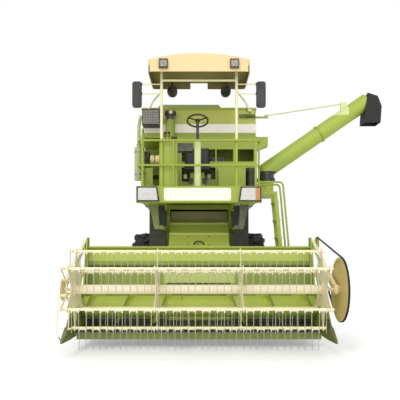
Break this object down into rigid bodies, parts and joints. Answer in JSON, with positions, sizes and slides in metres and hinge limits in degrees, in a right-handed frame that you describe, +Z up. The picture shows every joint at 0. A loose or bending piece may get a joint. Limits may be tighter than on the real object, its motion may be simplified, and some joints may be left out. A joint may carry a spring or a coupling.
{
  "type": "combine harvester",
  "caption": "Self-propelled combine harvester: tined reel header, feeder house, open platform under a canopy, grain tank, swinging unloading auger, straw hood and steered rear axle.",
  "frame": {"origin": "on the ground below the middle of the overall box", "axes": "+Z up, the front is at -Y, the machine's left side and its unloading auger are at +X"},
  "size_m": [5.1886, 7.7518, 4.4298],
  "materials": {
    "green_enamel": "gloss enamel",
    "cream_enamel": "gloss enamel",
    "black_steel": "satin enamel",
    "bare_steel": "bare steel",
    "tyre_rubber": "matt",
    "black_rubber": "matt",
    "seat_vinyl": "soft vinyl"
  },
  "bodies": {
    "chassis": {"front_axle": "black_steel", "rear_axle": "black_steel", "separator_body": "green_enamel", "straw_hood": "green_enamel", "straw_walkers": "bare_steel", "sieve_shoe": "bare_steel", "engine_bay": "green_enamel", "exhaust": "black_steel", "platform_deck": "green_enamel", "railing": "green_enamel", "canopy": "cream_enamel", "mirrors": "black_steel", "ladder": "green_enamel", "fuel_tank": "green_enamel", "grain_elevator": "green_enamel", "side_drives": "black_steel", "main_frame": "black_steel", "grain_tank": "green_enamel", "engine": "black_steel", "air_intakes": "black_steel", "lamps": "black_steel", "canopy_frame": "cream_enamel", "controls": "green_enamel", "seat": "seat_vinyl", "deck_boxes": "green_enamel", "unloader_turret": "green_enamel"},
    "front_wheel_left": {"front_tyre_left": "tyre_rubber", "front_rim_left": "cream_enamel"},
    "front_wheel_right": {"front_tyre_right": "tyre_rubber", "front_rim_right": "cream_enamel"},
    "rear_wheel_left": {"rear_tyre_left": "tyre_rubber", "rear_rim_left": "cream_enamel"},
    "rear_wheel_right": {"rear_tyre_right": "tyre_rubber", "rear_rim_right": "cream_enamel"},
    "knuckle_left": {"knuckle_left": "black_steel"},
    "knuckle_right": {"knuckle_right": "black_steel"},
    "tie_rod": {"tie_rod": "black_steel"},
    "header": {"feeder_house": "green_enamel", "header_trough": "green_enamel", "header_sides": "green_enamel", "cutter_bar": "black_steel"},
    "header_auger": {"header_auger": "green_enamel"},
    "lift_barrels": {"lift_barrels": "green_enamel"},
    "lift_rods": {"lift_rods": "bare_steel"},
    "reel_arms": {"reel_arms": "cream_enamel", "reel_belt": "black_rubber"},
    "reel_barrels": {"reel_barrels": "green_enamel"},
    "reel_rods": {"reel_rods": "bare_steel"},
    "reel": {"reel_frame": "cream_enamel", "reel_shaft": "cream_enamel"},
    "reel_eccentric": {"reel_eccentric": "cream_enamel"},
    "unloading_auger": {"unloader_tube": "green_enamel", "unloader_spout": "black_rubber"},
    "reel_bat_1": {"reel_bat_1": "cream_enamel"},
    "reel_bat_2": {"reel_bat_2": "cream_enamel"},
    "reel_bat_3": {"reel_bat_3": "cream_enamel"},
    "reel_bat_4": {"reel_bat_4": "cream_enamel"},
    "reel_bat_5": {"reel_bat_5": "cream_enamel"},
    "reel_bat_6": {"reel_bat_6": "cream_enamel"}
  },
  "joints": [
    {"name": "header_lift", "type": "hinge", "parent": "chassis", "child": "header", "pos_m": [-0.6963, -0.37408, 1.73], "axis": [-1, 0, 0], "range_deg": [0, 18]},
    {"name": "lift_barrel_tilt", "type": "hinge", "parent": "chassis", "child": "lift_barrels", "pos_m": [-0.6963, -0.62408, 0.69], "axis": [-1, 0, 0], "range_deg": [0, 21.11]},
    {"name": "lift_rod_stroke", "type": "slide", "parent": "lift_barrels", "child": "lift_rods", "axis": [0, -0.9911, -0.1328], "range_m": [0, 0.32938]},
    {"name": "header_auger_spin", "type": "hinge", "parent": "header", "child": "header_auger", "pos_m": [-0.6963, -2.33408, 0.56], "axis": [1, 0, 0], "continuous": true},
    {"name": "reel_lift", "type": "hinge", "parent": "header", "child": "reel_arms", "pos_m": [-0.6963, -1.92408, 1.53], "axis": [-1, 0, 0], "range_deg": [0, 22]},
    {"name": "reel_barrel_tilt", "type": "hinge", "parent": "header", "child": "reel_barrels", "pos_m": [-0.6963, -1.97408, 1], "axis": [-1, 0, 0], "range_deg": [0, 13.56]},
    {"name": "reel_rod_stroke", "type": "slide", "parent": "reel_barrels", "child": "reel_rods", "axis": [0, -0.9124, 0.4094], "range_m": [0, 0.18397]},
    {"name": "reel_spin", "type": "hinge", "parent": "reel_arms", "child": "reel", "pos_m": [-0.6963, -3.31408, 0.89], "axis": [1, 0, 0], "continuous": true},
    {"name": "reel_eccentric_spin", "type": "hinge", "parent": "reel_arms", "child": "reel_eccentric", "pos_m": [-0.6963, -3.38408, 0.89], "axis": [1, 0, 0], "continuous": true},
    {"name": "unloader_swing", "type": "hinge", "parent": "chassis", "child": "unloading_auger", "pos_m": [0.5287, -0.77408, 2.7], "axis": [0, 0, 1], "range_deg": [0, 90]},
    {"name": "bat_1_turn", "type": "hinge", "parent": "reel", "child": "reel_bat_1", "pos_m": [-0.6963, -3.26928, 1.40204], "axis": [1, 0, 0], "continuous": true},
    {"name": "bat_2_turn", "type": "hinge", "parent": "reel", "child": "reel_bat_2", "pos_m": [-0.6963, -3.73512, 1.18482], "axis": [1, 0, 0], "continuous": true},
    {"name": "bat_3_turn", "type": "hinge", "parent": "reel", "child": "reel_bat_3", "pos_m": [-0.6963, -3.77992, 0.67277], "axis": [1, 0, 0], "continuous": true},
    {"name": "bat_4_turn", "type": "hinge", "parent": "reel", "child": "reel_bat_4", "pos_m": [-0.6963, -3.35888, 0.37796], "axis": [1, 0, 0], "continuous": true},
    {"name": "bat_5_turn", "type": "hinge", "parent": "reel", "child": "reel_bat_5", "pos_m": [-0.6963, -2.89303, 0.59518], "axis": [1, 0, 0], "continuous": true},
    {"name": "bat_6_turn", "type": "hinge", "parent": "reel", "child": "reel_bat_6", "pos_m": [-0.6963, -2.84824, 1.10723], "axis": [1, 0, 0], "continuous": true},
    {"name": "front_wheel_left_spin", "type": "hinge", "parent": "chassis", "child": "front_wheel_left", "pos_m": [0.2937, -0.47408, 0.87], "axis": [1, 0, 0], "continuous": true},
    {"name": "steer_left", "type": "hinge", "parent": "chassis", "child": "knuckle_left", "pos_m": [0.0037, 2.82592, 0.45], "axis": [0, 0, 1], "range_deg": [-35, 35]},
    {"name": "rear_wheel_left_spin", "type": "hinge", "parent": "knuckle_left", "child": "rear_wheel_left", "pos_m": [0.2237, 2.82592, 0.45], "axis": [1, 0, 0], "continuous": true},
    {"name": "front_wheel_right_spin", "type": "hinge", "parent": "chassis", "child": "front_wheel_right", "pos_m": [-1.6863, -0.47408, 0.87], "axis": [1, 0, 0], "continuous": true},
    {"name": "steer_right", "type": "hinge", "parent": "chassis", "child": "knuckle_right", "pos_m": [-1.3963, 2.82592, 0.45], "axis": [0, 0, 1], "range_deg": [-35, 35]},
    {"name": "rear_wheel_right_spin", "type": "hinge", "parent": "knuckle_right", "child": "rear_wheel_right", "pos_m": [-1.6163, 2.82592, 0.45], "axis": [1, 0, 0], "continuous": true},
    {"name": "tie_rod_slide", "type": "slide", "parent": "chassis", "child": "tie_rod", "axis": [1, 0, 0], "range_m": [-0.11483, 0.11483]}
  ],
  "couplings": [
    {"joint": "lift_barrel_tilt", "follows": "header_lift", "ratio": 1.1715},
    {"joint": "lift_rod_stroke", "follows": "header_lift", "m_per_rad": 1.0474},
    {"joint": "reel_barrel_tilt", "follows": "reel_lift", "ratio": 0.61589},
    {"joint": "reel_rod_stroke", "follows": "reel_lift", "m_per_rad": 0.47865},
    {"joint": "reel_eccentric_spin", "follows": "reel_spin", "ratio": 1},
    {"joint": "steer_right", "follows": "steer_left", "ratio": 1},
    {"joint": "tie_rod_slide", "follows": "steer_left", "m_per_rad": 0.18779},
    {"joint": "bat_1_turn", "follows": "reel_spin", "ratio": -1},
    {"joint": "bat_2_turn", "follows": "reel_spin", "ratio": -1},
    {"joint": "bat_3_turn", "follows": "reel_spin", "ratio": -1},
    {"joint": "bat_4_turn", "follows": "reel_spin", "ratio": -1},
    {"joint": "bat_5_turn", "follows": "reel_spin", "ratio": -1},
    {"joint": "bat_6_turn", "follows": "reel_spin", "ratio": -1}
  ]
}
